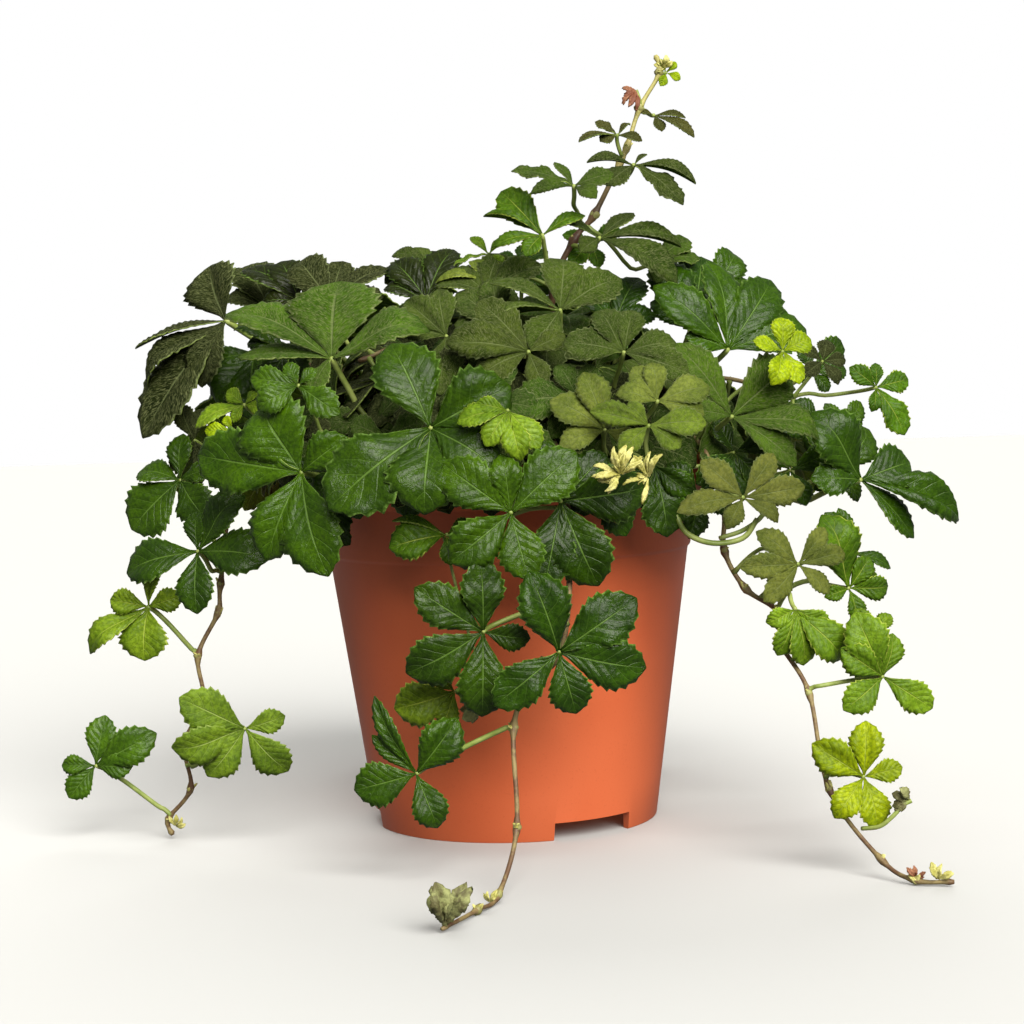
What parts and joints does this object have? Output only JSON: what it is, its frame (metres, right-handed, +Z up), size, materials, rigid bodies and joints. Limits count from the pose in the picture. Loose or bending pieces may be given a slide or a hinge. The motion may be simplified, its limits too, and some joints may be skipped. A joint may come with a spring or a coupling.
{
  "type": "potted live plant",
  "caption": "Trailing grape ivy with five-fingered toothed leaves in a tapered terracotta-coloured nursery pot; vines hang over the rim and lie on the surface around it",
  "frame": {"origin": "on the pot's axis, in the plane that its foot ring stands on", "axes": "+Z up; -Y is the front, where the front vine trails forward; +X is to the viewer's right"},
  "size_m": [0.256, 0.2786, 0.2182],
  "materials": {
    "pot_plastic": "satin",
    "compost": "rough",
    "stem": "rough",
    "leaf": "satin"
  },
  "bodies": {
    "root": {"leaf_crown_1": "leaf", "leaf_crown_10": "leaf", "leaf_crown_11": "leaf", "leaf_crown_12": "leaf", "leaf_crown_13": "leaf", "leaf_crown_14": "leaf", "leaf_crown_2": "leaf", "leaf_crown_3": "leaf", "leaf_crown_4": "leaf", "leaf_crown_5": "leaf", "leaf_crown_6": "leaf", "leaf_crown_7": "leaf", "leaf_crown_8": "leaf", "leaf_crown_9": "leaf", "leaf_front_1": "leaf", "leaf_front_2": "leaf", "leaf_front_3": "leaf", "leaf_front_4": "leaf", "leaf_front_5": "leaf", "leaf_front_6": "leaf", "leaf_left_1": "leaf", "leaf_left_2": "leaf", "leaf_left_3": "leaf", "leaf_left_4": "leaf", "leaf_left_5": "leaf", "leaf_left_6": "leaf", "leaf_rear_1": "leaf", "leaf_rear_10": "leaf", "leaf_rear_11": "leaf", "leaf_rear_2": "leaf", "leaf_rear_3": "leaf", "leaf_rear_4": "leaf", "leaf_rear_5": "leaf", "leaf_rear_6": "leaf", "leaf_rear_7": "leaf", "leaf_rear_8": "leaf", "leaf_rear_9": "leaf", "leaf_right_1": "leaf", "leaf_right_2": "leaf", "leaf_right_3": "leaf", "leaf_right_4": "leaf", "leaf_right_5": "leaf", "leaf_right_6": "leaf", "leaf_right_7": "leaf", "leaf_upright_1": "leaf", "leaf_upright_2": "leaf", "leaf_upright_3": "leaf", "leaf_upright_4": "leaf", "leaf_upright_5": "leaf", "pot": "pot_plastic", "soil": "compost", "stem_back": "stem", "stem_crown_back": "stem", "stem_crown_left": "stem", "stem_crown_right": "stem", "stem_front": "stem", "stem_left": "stem", "stem_rear_right": "stem", "stem_right": "stem", "stem_upright": "stem"}
  },
  "joints": []
}
